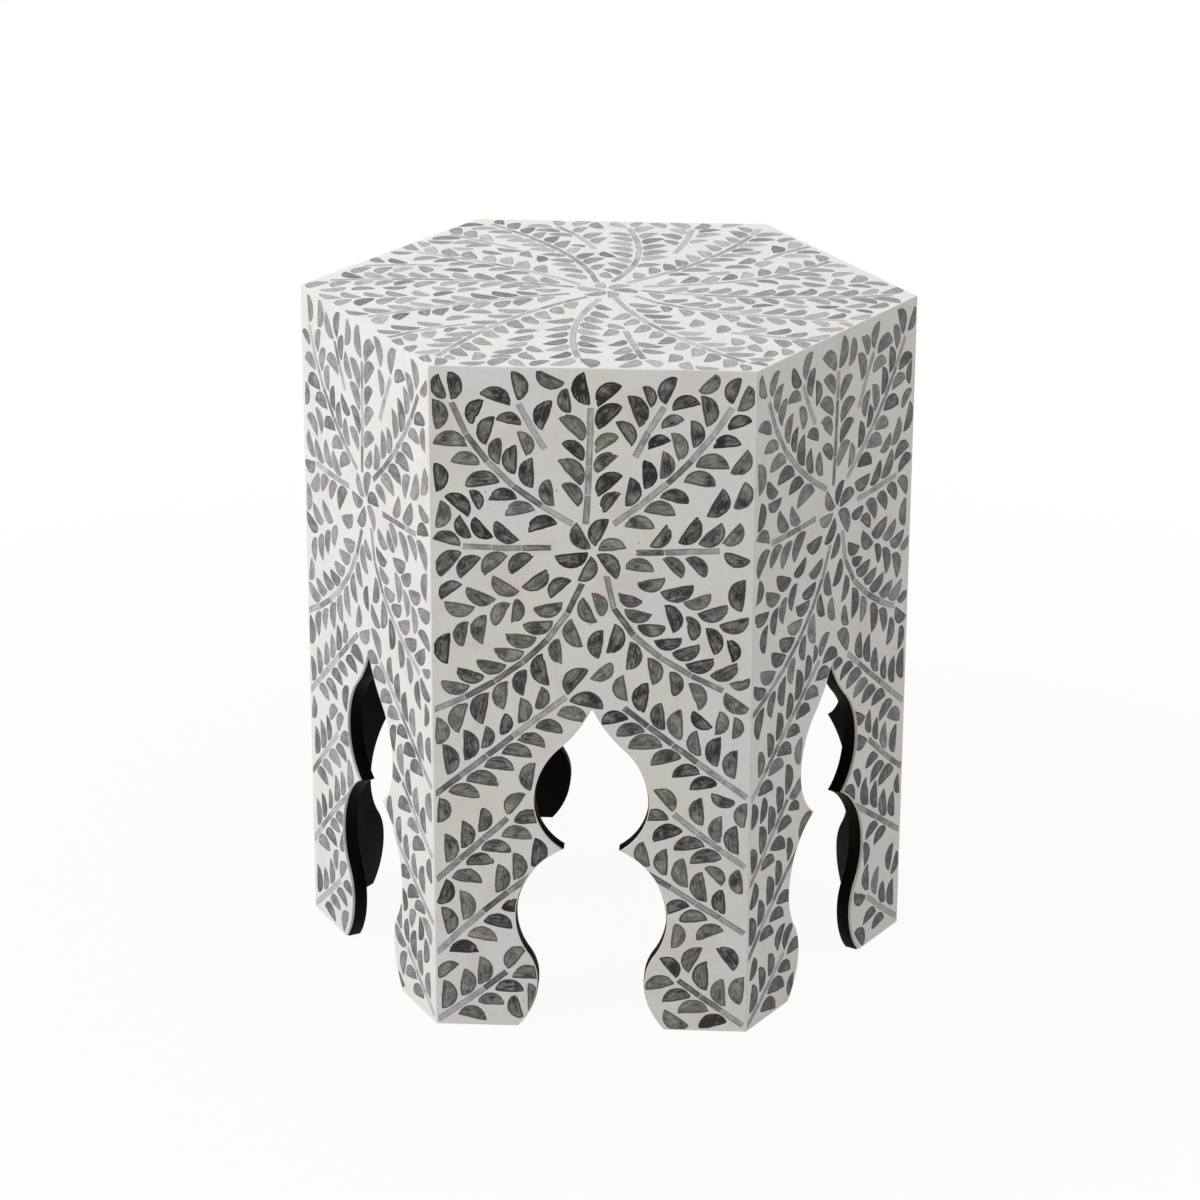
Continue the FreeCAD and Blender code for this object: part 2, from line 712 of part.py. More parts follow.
def top_cleat():
    half = half_width(inner_depth) - corner_block_leg - cleat_end_clearance
    start = FreeCAD.Vector(-half, inner_depth - outer_apothem, cleat_bottom)
    cleat = Part.makeBox(2 * half, cleat_depth, cleat_height, start)
    hole = screw_shank_diameter + screw_hole_clearance
    past = screw_tip_length + screw_hole_clearance
    bores = out_places(screw_profile(cleat_depth + past, hole))
    bores += up_places(screw_profile(cleat_height + past, hole))
    return cleat.cut(bores)


def corner_block():
    """A three-sided glue block in the corner at the right of the front panel."""
    radius = (outer_apothem - inner_depth) / math.cos(half_corner)
    corner = add((0.0, 0.0), heading(-math.pi / 2 + half_corner), radius)
    along_front = add(corner, (-1.0, 0.0), corner_block_leg)
    along_next = add(corner, heading(2 * half_corner), corner_block_leg)
    points = [corner, along_next, along_front]
    return polygon_prism(points, side_board_height - corner_block_height, side_board_height)


# The top skin

def on_top(point):
    return FreeCAD.Vector(point[0], point[1], top_skin_bottom)


def top_outline(inset, flat):
    """The plan of the top, drawn in by the inset, with its corners cut by a flat."""
    apothem = outer_apothem - inset
    half = apothem * math.tan(half_corner) - flat
    corners = []
    for k in range(panel_count):
        out = heading(2 * k * half_corner - math.pi / 2)
        middle = add((0.0, 0.0), out, apothem)
        corners += [add(middle, left_of(out), -half), add(middle, left_of(out), half)]
    return list(zip(corners, corners[1:] + corners[:1]))


def well_inside_top(points):
    limit = outer_apothem - top_edge_radius - inlay_rim
    return max(math.hypot(x, y) for x, y in points) < limit


def top_point(share):
    return (share[0] * outer_radius, share[1] * outer_radius)


def top_inlay(seed):
    lines = [[top_point(share) for share in line] for line in top_stem_shares]
    runs = [[top_point(share) for share in line] for line in top_leaf_run_shares]
    rosette = rosette_places((0.0, 0.0), top_rosette_angles)
    singles = [(top_point(share), math.radians(a), side) for share, a, side in top_single_leaf_shares]
    box = (-outer_radius, outer_radius, -outer_apothem, outer_apothem)
    limit = outer_apothem - top_edge_radius - inlay_rim
    sides = [(heading(2 * k * half_corner - math.pi / 2), limit) for k in range(panel_count)]
    stems, leaves = place_pieces(lines, runs, singles, rosette, sides, box, top_leaf_share, seed)
    corner_flat = corner_ease / math.sin(half_corner)
    region = outline_face(top_outline(top_edge_radius + inlay_rim, corner_flat), on_top)
    stem_faces = clipped_faces(stems, region, well_inside_top, on_top)
    leaf_faces = clipped_faces(leaves, region, well_inside_top, on_top)
    return stem_faces, leaf_faces


def top_skin(pieces):
    """The holed plate, less what rounding its upper edge takes off a plain one."""
    upward = FreeCAD.Vector(0, 0, skin_thickness)
    corner_flat = corner_ease / math.sin(half_corner)
    outer = outline_face(top_outline(0.0, corner_flat), on_top)
    plain = outer.extrude(upward)
    level = top_skin_bottom + skin_thickness / 2
    rim = [edge for edge in plain.Edges if edge.BoundBox.ZMin > level]
    waste = plain.cut(plain.makeFillet(top_edge_radius, rim))
    return holed_face(outer, pieces).extrude(upward).cut(waste)


# Write every node

os.makedirs("parts", exist_ok=True)
board = side_board()
cleat = top_cleat()
block = corner_block()
skin_count = 0
for k, panel in enumerate(panel_names):
    angle = k * panel_turn
    stem_faces, leaf_faces = panel_inlay(k + 1)
    skin = panel_skin(stem_faces + leaf_faces)
    inward = into_panel * skin_thickness
    save([turned(board, angle)], panel + "_side_board")
    save([turned(skin, angle)], panel + "_resin_field")
    save([turned(face.extrude(inward), angle) for face in leaf_faces], panel + "_shell_leaves")
    save([turned(face.extrude(inward), angle) for face in stem_faces], panel + "_shell_stems")
    save([turned(cleat, angle)], "top_cleat_" + str(k + 1))
    save([turned(block, angle)], "corner_block_" + str(k + 1))

save([top_board()], "top_board")
stem_faces, leaf_faces = top_inlay(panel_count + 1)
upward = FreeCAD.Vector(0, 0, skin_thickness)
save([top_skin(stem_faces + leaf_faces)], "top_resin_field")
save([face.extrude(upward) for face in leaf_faces], "top_shell_leaves")
save([face.extrude(upward) for face in stem_faces], "top_shell_stems")

out_screws = out_places(screw(cleat_depth + screw_grip_out))
up_screws = up_places(screw(cleat_height + screw_grip_up))
turns = [k * panel_turn for k in range(panel_count)]
save([turned(s, angle) for angle in turns for s in out_screws], "cleat_screws_out")
save([turned(s, angle) for angle in turns for s in up_screws], "cleat_screws_up")
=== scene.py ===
import math
import random

import bmesh
import bpy
from mathutils import Matrix, Vector, kdtree, noise


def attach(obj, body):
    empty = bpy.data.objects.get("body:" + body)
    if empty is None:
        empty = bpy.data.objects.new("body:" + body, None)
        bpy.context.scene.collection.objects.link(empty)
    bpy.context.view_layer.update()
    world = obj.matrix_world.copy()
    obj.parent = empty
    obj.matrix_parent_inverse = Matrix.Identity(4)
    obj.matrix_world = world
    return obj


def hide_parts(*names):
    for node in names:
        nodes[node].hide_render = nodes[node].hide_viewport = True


# Mother of pearl side table: resin skins with shell leaves and stems, on black painted boards.
# Metres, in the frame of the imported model.

mm = 0.001
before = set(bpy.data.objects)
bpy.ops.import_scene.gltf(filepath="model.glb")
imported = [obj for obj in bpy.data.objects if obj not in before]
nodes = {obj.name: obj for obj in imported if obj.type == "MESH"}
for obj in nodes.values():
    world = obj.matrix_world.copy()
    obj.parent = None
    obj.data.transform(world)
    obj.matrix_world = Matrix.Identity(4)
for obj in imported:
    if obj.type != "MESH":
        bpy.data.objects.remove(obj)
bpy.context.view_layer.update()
print("frame loaded,", len(nodes), "nodes")


def linear(hexColour):
    # an sRGB hex colour as the linear values that a shader takes
    parts = [int(hexColour[i:i + 2], 16) / 255 for i in (1, 3, 5)]
    return [c / 12.92 if c <= 0.04045 else ((c + 0.055) / 1.055) ** 2.4 for c in parts] + [1]


def addNode(tree, kind, settings, inputs):
    # an input is a plain value, or another node's output to link from
    node = tree.nodes.new(kind)
    for name, value in settings.items():
        setattr(node, name, value)
    for key, value in inputs.items():
        if isinstance(value, bpy.types.NodeSocket):
            tree.links.new(value, node.inputs[key])
        else:
            node.inputs[key].default_value = value
    return node


# Numbers of a Mix node's colour sockets, which share their names with others
mixA = 6
mixB = 7
mixOut = 2


def emptyMaterial(name):
    material = bpy.data.materials.new(name)
    material.use_nodes = True
    material.node_tree.nodes.clear()
    return material, material.node_tree


resinLook = {
    "plain": "#E3E1DD", "straw": "#E1DBCA", "rose": "#DDCEC9", "dust": "#D3D0CC", "pit": "#5E5B57",
    "strawPitch": 55 * mm, "strawShare": 0.75,
    "rosePitch": 38 * mm, "roseShare": 0.8,
    "dustPitch": 4 * mm, "dustShare": 0.35,
    "pitPitch": 12 * mm, "pitShare": 0.75,
    "pitDraw": 0.62,  # the share of the cells that have none
    "pitCore": 0.035, "pitEdge": 0.075,  # radii, as shares of a cell
    "ripplePitch": 18 * mm, "rippleDepth": 0.15 * mm,
    "smooth": 0.24, "rough": 0.4,
}


# Cast resin: polyester filled with chalk, poured round the shell, sanded flush and lacquered. It
# looks like off-white stone with faint clouds of pink and straw, a few pits, and a clear shine.
def castResin(look):
    material, tree = emptyMaterial("cast_resin")
    place = addNode(tree, "ShaderNodeTexCoord", {}, {}).outputs["Object"]
    cloud = addNode(tree, "ShaderNodeTexNoise", {}, {
        "Vector": place, "Scale": 1 / look["strawPitch"], "Detail": 3, "Roughness": 0.55})
    warmth = addNode(tree, "ShaderNodeMapRange", {}, {
        "Value": cloud.outputs[0], "From Min": 0.42, "From Max": 0.66,
        "To Max": look["strawShare"]})
    blush = addNode(tree, "ShaderNodeTexNoise", {}, {
        "Vector": place, "Scale": 1 / look["rosePitch"], "Detail": 2, "Distortion": 0.6})
    pink = addNode(tree, "ShaderNodeMapRange", {}, {
        "Value": blush.outputs[0], "From Min": 0.52, "From Max": 0.74, "To Max": look["roseShare"]})
    chalk = addNode(tree, "ShaderNodeTexNoise", {}, {
        "Vector": place, "Scale": 1 / look["dustPitch"], "Detail": 4, "Roughness": 0.6})
    grey = addNode(tree, "ShaderNodeMapRange", {}, {
        "Value": chalk.outputs[0], "From Min": 0.4, "From Max": 0.7, "To Max": look["dustShare"]})
    straw = addNode(tree, "ShaderNodeMix", {"data_type": "RGBA"}, {
        0: warmth.outputs[0], mixA: linear(look["plain"]), mixB: linear(look["straw"])})
    rose = addNode(tree, "ShaderNodeMix", {"data_type": "RGBA"}, {
        0: pink.outputs[0], mixA: straw.outputs[mixOut], mixB: linear(look["rose"])})
    dusty = addNode(tree, "ShaderNodeMix", {"data_type": "RGBA"}, {
        0: grey.outputs[0], mixA: rose.outputs[mixOut], mixB: linear(look["dust"])})
    # pits and stray crumbs of shell, one at most in each cell of this pattern
    cells = addNode(tree, "ShaderNodeTexVoronoi", {}, {
        "Vector": place, "Scale": 1 / look["pitPitch"]})
    drawn = addNode(tree, "ShaderNodeSeparateColor", {}, {"Color": cells.outputs["Color"]})
    chosen = addNode(tree, "ShaderNodeMath", {"operation": "GREATER_THAN"}, {
        0: drawn.outputs[0], 1: look["pitDraw"]})
    dot = addNode(tree, "ShaderNodeMapRange", {}, {
        "Value": cells.outputs["Distance"], "From Min": look["pitCore"],
        "From Max": look["pitEdge"], "To Min": look["pitShare"], "To Max": 0})
    pit = addNode(tree, "ShaderNodeMath", {"operation": "MULTIPLY"}, {
        0: chosen.outputs[0], 1: dot.outputs[0]})
    colour = addNode(tree, "ShaderNodeMix", {"data_type": "RGBA"}, {
        0: pit.outputs[0], mixA: dusty.outputs[mixOut], mixB: linear(look["pit"])})
    polish = addNode(tree, "ShaderNodeMapRange", {}, {
        "Value": chalk.outputs[0], "To Min": look["smooth"], "To Max": look["rough"]})
    ripple = addNode(tree, "ShaderNodeTexNoise", {}, {
        "Vector": place, "Scale": 1 / look["ripplePitch"], "Detail": 2})
    relief = addNode(tree, "ShaderNodeBump", {}, {
        "Strength": 0.35, "Distance": look["rippleDepth"], "Height": ripple.outputs[0]})
    shader = addNode(tree, "ShaderNodeBsdfPrincipled", {}, {
        "Base Color": colour.outputs[mixOut], "Roughness": polish.outputs[0], "IOR": 1.54,
        "Coat Weight": 0.7, "Coat Roughness": 0.16, "Normal": relief.outputs[0]})
    addNode(tree, "ShaderNodeOutputMaterial", {}, {"Surface": shader.outputs[0]})
    return material


# Grey nacre: the inside of a river or black-lipped shell, sawn, laid with its growth lines along
# the leaf, sanded and lacquered. It is cloudy and streaked, darkens to a nearly black cut rim,
# and its layers scatter a pale haze when it is seen at a slant.
def greyNacre(name, look):
    material, tree = emptyMaterial(name)
    grain = addNode(tree, "ShaderNodeUVMap", {"uv_map": "grain"}, {}).outputs[0]
    tone = addNode(tree, "ShaderNodeAttribute", {"attribute_name": "tone"}, {}).outputs["Fac"]
    hue = addNode(tree, "ShaderNodeAttribute", {"attribute_name": "hue"}, {}).outputs["Fac"]
    rim = addNode(tree, "ShaderNodeAttribute", {"attribute_name": "rim"}, {}).outputs["Fac"]
    cloud = addNode(tree, "ShaderNodeTexNoise", {"noise_dimensions": "2D"}, {
        "Vector": grain, "Scale": 1 / look["cloudPitch"], "Detail": 2, "Roughness": 0.5,
        "Distortion": 0.5})
    drawnOut = addNode(tree, "ShaderNodeMapping", {}, {
        "Vector": grain, "Scale": (look["streakDraw"], 1, 1)})
    streak = addNode(tree, "ShaderNodeTexNoise", {"noise_dimensions": "2D"}, {
        "Vector": drawnOut.outputs[0], "Scale": 1 / look["streakPitch"], "Detail": 3,
        "Distortion": 1.2})
    toned = addNode(tree, "ShaderNodeMath", {"operation": "MULTIPLY_ADD"}, {
        0: tone, 1: look["toneShare"], 2: look["base"]})
    clouded = addNode(tree, "ShaderNodeMath", {"operation": "MULTIPLY_ADD"}, {
        0: cloud.outputs[0], 1: look["cloudShare"], 2: toned.outputs[0]})
    level = addNode(tree, "ShaderNodeMath", {"operation": "MULTIPLY_ADD", "use_clamp": True}, {
        0: streak.outputs[0], 1: look["streakShare"], 2: clouded.outputs[0]})
    tint = addNode(tree, "ShaderNodeMix", {"data_type": "RGBA"}, {
        0: hue, mixA: linear(look["cool"]), mixB: linear(look["warm"])})
    body = addNode(tree, "ShaderNodeMix", {"data_type": "RGBA"}, {
        0: level.outputs[0], mixA: linear(look["dark"]), mixB: linear(look["light"])})
    tinted = addNode(tree, "ShaderNodeMix", {"data_type": "RGBA", "blend_type": "MULTIPLY"}, {
        0: 1.0, mixA: body.outputs[mixOut], mixB: tint.outputs[mixOut]})
    # painted highlight: milky patches painted into the colour, where the pearl layer would turn to
    # the light
    sheen = addNode(tree, "ShaderNodeTexNoise", {"noise_dimensions": "2D"}, {
        "Vector": grain, "Scale": 1 / look["glintPitch"], "Detail": 3, "Roughness": 0.65})
    glint = addNode(tree, "ShaderNodeMapRange", {}, {
        "Value": sheen.outputs[0], "From Min": look["glintFrom"],
        "From Max": look["glintFrom"] + look["glintRise"], "To Max": look["glintShare"]})
    lit = addNode(tree, "ShaderNodeMix", {"data_type": "RGBA"}, {
        0: glint.outputs[0], mixA: tinted.outputs[mixOut], mixB: linear(look["sheenAndPaintedGlint"])})
    # pits and burns of the saw
    pits = addNode(tree, "ShaderNodeTexNoise", {"noise_dimensions": "2D"}, {
        "Vector": grain, "Scale": 1 / look["pitPitch"], "Detail": 3, "Roughness": 0.6})
    pit = addNode(tree, "ShaderNodeMapRange", {}, {
        "Value": pits.outputs[0], "From Min": 0.6, "From Max": 0.68, "To Max": look["pitShare"]})
    # where the clouds are dark, so is the rim, and its dark reaches further in
    reach = addNode(tree, "ShaderNodeMapRange", {}, {
        "Value": cloud.outputs[0], "From Min": 0.35, "From Max": 0.65,
        "To Min": look["rimStrongest"], "To Max": look["rimWeakest"]})
    rimLevel = addNode(tree, "ShaderNodeMath", {"operation": "MULTIPLY"}, {
        0: rim, 1: reach.outputs[0]})
    darkening = addNode(tree, "ShaderNodeMath", {"operation": "MULTIPLY_ADD", "use_clamp": True}, {
        0: rimLevel.outputs[0], 1: look["rimShare"], 2: pit.outputs[0]})
    rimmed = addNode(tree, "ShaderNodeMix", {"data_type": "RGBA"}, {
        0: darkening.outputs[0], mixA: lit.outputs[mixOut], mixB: linear(look["rimColour"])})
    # painted highlight: small pale specks that stand in for tiny glints on the shell
    paintedGlintSpecks = addNode(tree, "ShaderNodeMapRange", {}, {
        "Value": pits.outputs[0], "From Min": 0.25, "From Max": 0.22, "To Max": 0.8})
    colour = addNode(tree, "ShaderNodeMix", {"data_type": "RGBA"}, {
        0: paintedGlintSpecks.outputs[0], mixA: rimmed.outputs[mixOut], mixB: linear(look["paintedSpeckColour"])})
    sheenAndPaintedGlint = addNode(tree, "ShaderNodeMath", {"operation": "MULTIPLY_ADD"}, {
        0: tone, 1: look["hazeShare"], 2: look["haze"]})
    haze = addNode(tree, "ShaderNodeMapRange", {}, {
        "Value": darkening.outputs[0], "To Min": sheenAndPaintedGlint.outputs[0], "To Max": look["rimHaze"]})
    polish = addNode(tree, "ShaderNodeMapRange", {}, {
        "Value": cloud.outputs[0], "To Min": look["smooth"], "To Max": look["rough"]})
    relief = addNode(tree, "ShaderNodeBump", {}, {
        "Strength": 0.5, "Distance": look["waveDepth"], "Height": cloud.outputs[0]})
    shader = addNode(tree, "ShaderNodeBsdfPrincipled", {}, {
        "Base Color": colour.outputs[mixOut], "Roughness": polish.outputs[0], "IOR": 1.48,
        "Specular IOR Level": 0.25, "Coat Weight": 0.06, "Coat Roughness": 0.14,
        "Sheen Weight": haze.outputs[0], "Sheen Roughness": 0.45, "Normal": relief.outputs[0]})
    addNode(tree, "ShaderNodeOutputMaterial", {}, {"Surface": shader.outputs[0]})
    return material


nacreLook = {  # what leaves and strips share
    # the first two colours are painted highlights: the glint patches and the small pale specks
    "sheenAndPaintedGlint": "#A9ACA8", "paintedSpeckColour": "#D8D6D0", "glintRise": 0.14,
    "rimStrongest": 1.3, "rimWeakest": 0.45, "rimHaze": 0.05,
    "smooth": 0.22, "rough": 0.45, "waveDepth": 0.12 * mm,
}
leafLook = {
    **nacreLook, "dark": "#141412", "light": "#A3A29D", "cool": "#E4EEE9", "warm": "#FAEEE9",
    "cloudPitch": 11, "streakPitch": 1.3, "glintPitch": 4.5, "pitPitch": 1.6,  # mm
    "streakDraw": 0.13, "toneShare": 0.5, "cloudShare": 1.8, "streakShare": 1.6, "base": -1.63,
    "haze": 0.18, "hazeShare": 1.05, "glintFrom": 0.62, "glintShare": 0.5, "pitShare": 0.6,
    "rimShare": 1.0, "rimColour": "#0E0E0D",
}
stemLook = {
    **nacreLook, "dark": "#3A3B3A", "light": "#C6C7C4", "cool": "#EFF6F5", "warm": "#FFF9F3",
    "cloudPitch": 12, "streakPitch": 0.7, "glintPitch": 12, "pitPitch": 3,
    "streakDraw": 0.06, "toneShare": 0.8, "cloudShare": 1.1, "streakShare": 1.3, "base": -1.02,
    "haze": 0.5, "hazeShare": 0, "glintFrom": 0.66, "glintShare": 0.3, "pitShare": 0.25,
    "rimShare": 0.7, "rimColour": "#3A3C3B",
}


# Black paint: a flat black brushed on board and batten. It is very dark and hardly shines, with
# faint brush lines and the fibres of a sawn edge under it.
def blackPaint(name, look):
    material, tree = emptyMaterial(name)
    place = addNode(tree, "ShaderNodeTexCoord", {}, {}).outputs["Object"]
    along = addNode(tree, "ShaderNodeMapping", {}, {"Vector": place, "Scale": look["stroke"]})
    brush = addNode(tree, "ShaderNodeTexNoise", {}, {
        "Vector": along.outputs[0], "Scale": 1 / look["strokePitch"], "Detail": 4,
        "Roughness": 0.6})
    fibre = addNode(tree, "ShaderNodeTexNoise", {}, {
        "Vector": place, "Scale": 1 / look["fibrePitch"], "Detail": 3})
    wear = addNode(tree, "ShaderNodeMapRange", {}, {
        "Value": fibre.outputs[0], "From Min": 0.45, "From Max": 0.75})
    colour = addNode(tree, "ShaderNodeMix", {"data_type": "RGBA"}, {
        0: wear.outputs[0], mixA: linear(look["colour"]), mixB: linear(look["worn"])})
    satin = addNode(tree, "ShaderNodeMapRange", {}, {
        "Value": brush.outputs[0], "To Min": look["smooth"], "To Max": look["rough"]})
    height = addNode(tree, "ShaderNodeMath", {"operation": "ADD"}, {
        0: brush.outputs[0], 1: fibre.outputs[0]})
    relief = addNode(tree, "ShaderNodeBump", {}, {
        "Strength": 0.6, "Distance": look["depth"], "Height": height.outputs[0]})
    shader = addNode(tree, "ShaderNodeBsdfPrincipled", {}, {
        "Base Color": colour.outputs[mixOut], "Roughness": satin.outputs[0], "IOR": 1.5,
        "Specular IOR Level": 0.05, "Normal": relief.outputs[0]})
    addNode(tree, "ShaderNodeOutputMaterial", {}, {"Surface": shader.outputs[0]})
    return material


boardLook = {
    "stroke": (1, 1, 0.12), "strokePitch": 3 * mm, "fibrePitch": 1.4 * mm,
    "colour": "#050505", "worn": "#0D0C0B", "smooth": 0.5, "rough": 0.75, "depth": 0.12 * mm,
}
battenLook = {
    "stroke": (0.15, 0.15, 1), "strokePitch": 2.4 * mm, "fibrePitch": 1.8 * mm,
    "colour": "#080707", "worn": "#1B1713", "smooth": 0.55, "rough": 0.8, "depth": 0.12 * mm,
}


screwLook = {
    "cool": "#A9ADB3", "warm": "#CFCDC4", "bloomPitch": 2 * mm, "smooth": 0.28, "rough": 0.5,
}


# Zinc plated steel: a rolled and plated wood screw, dull silver with a faint blue cast.
def zincSteel(look):
    material, tree = emptyMaterial("zinc_plated_steel")
    place = addNode(tree, "ShaderNodeTexCoord", {}, {}).outputs["Object"]
    bloom = addNode(tree, "ShaderNodeTexNoise", {}, {
        "Vector": place, "Scale": 1 / look["bloomPitch"], "Detail": 3})
    colour = addNode(tree, "ShaderNodeMix", {"data_type": "RGBA"}, {
        0: bloom.outputs[0], mixA: linear(look["cool"]), mixB: linear(look["warm"])})
    dull = addNode(tree, "ShaderNodeMapRange", {}, {
        "Value": bloom.outputs[0], "To Min": look["smooth"], "To Max": look["rough"]})
    shader = addNode(tree, "ShaderNodeBsdfPrincipled", {}, {
        "Base Color": colour.outputs[mixOut], "Metallic": 1.0, "Roughness": dull.outputs[0]})
    addNode(tree, "ShaderNodeOutputMaterial", {}, {"Surface": shader.outputs[0]})
    return material


finishes = {
    "resin": castResin(resinLook),
    "shell_leaf": greyNacre("grey_nacre_leaf", leafLook),
    "shell_stem": greyNacre("grey_nacre_strip", stemLook),
    "painted_board": blackPaint("black_painted_board", boardLook),
    "painted_batten": blackPaint("black_painted_batten", battenLook),
    "screw_steel": zincSteel(screwLook),
}
for node in nodes.values():
    for place in node.material_slots:
        place.material = finishes[place.material.name]
print("finishes on the frame's nodes")


# For each skin: its turn about the upright axis in degrees, the seed of its draws, and the painted
# light and
# shade of its leaves: how much lighter they are drawn at the foot and at the top, as the light
# falls on that side
panels = {
    "front": {"turn": 0, "seed": 1, "paintedShadingByHeight": (0.25, 0)},
    "front_right": {"turn": 60, "seed": 11, "paintedShadingByHeight": (-0.9, 0.1)},
    "back_right": {"turn": 120, "seed": 21, "paintedShadingByHeight": (-0.2, 0)},
    "back": {"turn": 180, "seed": 31, "paintedShadingByHeight": (0, 0)},
    "back_left": {"turn": 240, "seed": 41, "paintedShadingByHeight": (0, 0.2)},
    "front_left": {"turn": 300, "seed": 51, "paintedShadingByHeight": (-0.15, 0.5)},
}
tableTop = {"seed": 71, "paintedShadingByHeight": (0.1, 0.1)}

skin = {
    "merge": 0.002 * mm,
    "flatAngle": math.radians(0.5),  # faces that meet at less than this are one flat stretch
    "cornerAngle": 1,  # in radians: the edges of a skin, a pocket or a board turn by more
    "smoothAngle": math.radians(25),
    "faceNormal": 0.9,  # a piece's face points up at least this much
    "slopeNormal": 0.5,  # and so do the slopes of its rim
    "edgeRound": 0.25 * mm,
    "edgeSteps": 2,
    "longEdge": 1.6 * mm,  # outline edges longer than this are halved
    "handWander": 0.4 * mm,  # how far a hand cut outline strays
    "wanderPitch": 7 * mm,
    "sawWander": 0.28 * mm,
    "sawPitch": 1.6 * mm,
    "wanderSeed": 5,
    "calmReach": 2.5 * mm,  # nearer than this to the skin's own edge, an outline strays less
    "match": 0.05 * mm,  # a resin corner this near a shell corner belongs to it
    "inwardLimit": 0.6,  # a rim's corner goes at most this share of the way to the middle line
    "grainReach": 900,  # mm of shell pattern that the pieces are sawn from
}

leaf = {
    "rimWidth": 0.35 * mm,
    "rimFall": 0.2,  # what is left of the rim's dark at this width
    "shadeWidth": 1.1 * mm,  # and how far that reaches on
    "spineShare": 0.3,  # half the line that the rim is drawn in towards, of the leaf's length
    "rimDip": 0.07 * mm,  # the edge is rubbed lower than the middle
    "sink": (0.01 * mm, 0.05 * mm),
    "tilt": 0.003,  # slope of a leaf in its pocket
    "toneSpread": 0.28,
    "hueSpread": 0.2,
    "bluntShare": 0.45,  # tips that are not sharp
    "bluntDepth": (0.4 * mm, 1.5 * mm),
    "bluntBeside": 0.35,  # how far the corners beside such a tip go along, of its depth
    "nickShare": 0.4,  # leaves with a bite out of the edge near a tip
    "nickReach": 7 * mm,
    "nickDepth": (0.4 * mm, 1.5 * mm),
    "nickBeside": 0.2,
    "biteShare": 0.4,  # the deepest bite, of the leaf's width there
    "biteSteps": 2,  # corners no further along the outline than this don't count for that width
}

stem = {
    "rimWidth": 0.35 * mm,
    "rimFall": 0.35,
    "shadeWidth": 0.7 * mm,
    "spineShare": 0.46,
    "rimDip": 0.05 * mm,
    "sink": (0.01 * mm, 0.04 * mm),
    "tilt": 0.002,
    "hueSpread": 0.3,
    "darkShare": 0.3,  # strips of darker shell
    "darkTones": (0, 0.2),
    "lightTones": (0.4, 1),
}


# Every skin is worked on lying flat, with its face up, and is stood back in its place at the end.
def flatten(turn):
    return Matrix.Rotation(-math.pi / 2, 4, "X") @ Matrix.Rotation(-math.radians(turn), 4, "Z")


def flatCopy(nodeName, lay):
    bm = bmesh.new()
    bm.from_mesh(nodes[nodeName].data)
    bmesh.ops.transform(bm, matrix=lay, verts=bm.verts)
    bmesh.ops.remove_doubles(bm, verts=bm.verts, dist=skin["merge"])
    return bm


def makeWhole(bm, verts, edges):
    # flat stretches that came as triangles become one face each
    bmesh.ops.dissolve_limit(bm, angle_limit=skin["flatAngle"], verts=verts, edges=edges)


def isLevel(part, height):
    return all(abs(vertex.co.z - height) < skin["merge"] for vertex in part.verts)


def isCorner(edge):
    return edge.calc_face_angle(0) > skin["cornerAngle"]


def openLevel(bm, height):
    # takes off the triangles of a face with many pockets, and leaves the edges round it
    level = [face for face in bm.faces if isLevel(face, height)]
    bmesh.ops.delete(bm, geom=level, context="FACES_ONLY")
    loose = [edge for edge in bm.edges if not edge.link_faces]
    bmesh.ops.delete(bm, geom=loose, context="EDGES")


def closeLevel(bm, height, upward):
    rims = [edge for edge in bm.edges if edge.is_boundary and isLevel(edge, height)]
    filled = bmesh.ops.triangle_fill(bm, use_beauty=True, edges=rims, normal=(0, 0, upward))
    bm.normal_update()
    faces = [part for part in filled["geom"] if isinstance(part, bmesh.types.BMFace)]
    turned = [face for face in faces if face.normal.z * upward < 0]
    bmesh.ops.reverse_faces(bm, faces=turned)


def finishPiece(bm, name, lay, slot, replaced):
    height = max(vertex.co.z for vertex in bm.verts)
    for face in bm.faces:
        face.smooth = not isLevel(face, height)
    for edge in bm.edges:
        edge.smooth = edge.calc_face_angle(0) < skin["smoothAngle"]
    bmesh.ops.transform(bm, matrix=lay.inverted(), verts=bm.verts)
    mesh = bpy.data.meshes.new(name)
    bm.to_mesh(mesh)
    bm.free()
    piece = bpy.data.objects.new(name, mesh)
    bpy.context.scene.collection.objects.link(piece)
    mesh.materials.append(finishes[slot])
    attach(piece, "root")
    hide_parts(replaced)


def plan(vertex):
    return Vector((vertex.co.x, vertex.co.y, 0))


def upperFaces(bm):
    return [face for face in bm.faces if face.normal.z > skin["faceNormal"]]


def halveOutlines(bm, levels):
    # long edges round the pieces and their pockets get a corner in the middle, above and below
    outline = [edge for edge in bm.edges if isCorner(edge) and edge.calc_length() > skin["longEdge"]
               and any(isLevel(edge, level) for level in levels)]
    bmesh.ops.subdivide_edges(bm, edges=outline, cuts=1)


# noise_vector starts from the clock unless it has a seed, and each run has to cut the same pieces
noise.seed_set(skin["wanderSeed"])


def wanderAt(point, seed):
    total = Vector()
    wide = (skin["handWander"], skin["wanderPitch"])
    fine = (skin["sawWander"], skin["sawPitch"])
    for size, pitch in (wide, fine):
        shift = noise.noise_vector(Vector((point.x, point.y, seed * mm)) / pitch)
        total += Vector((shift.x, shift.y, 0)) * size
    return total


def cornerTree(corners):
    tree = kdtree.KDTree(len(corners))
    for number, corner in enumerate(corners):
        tree.insert(corner, number)
    tree.balance()
    return tree


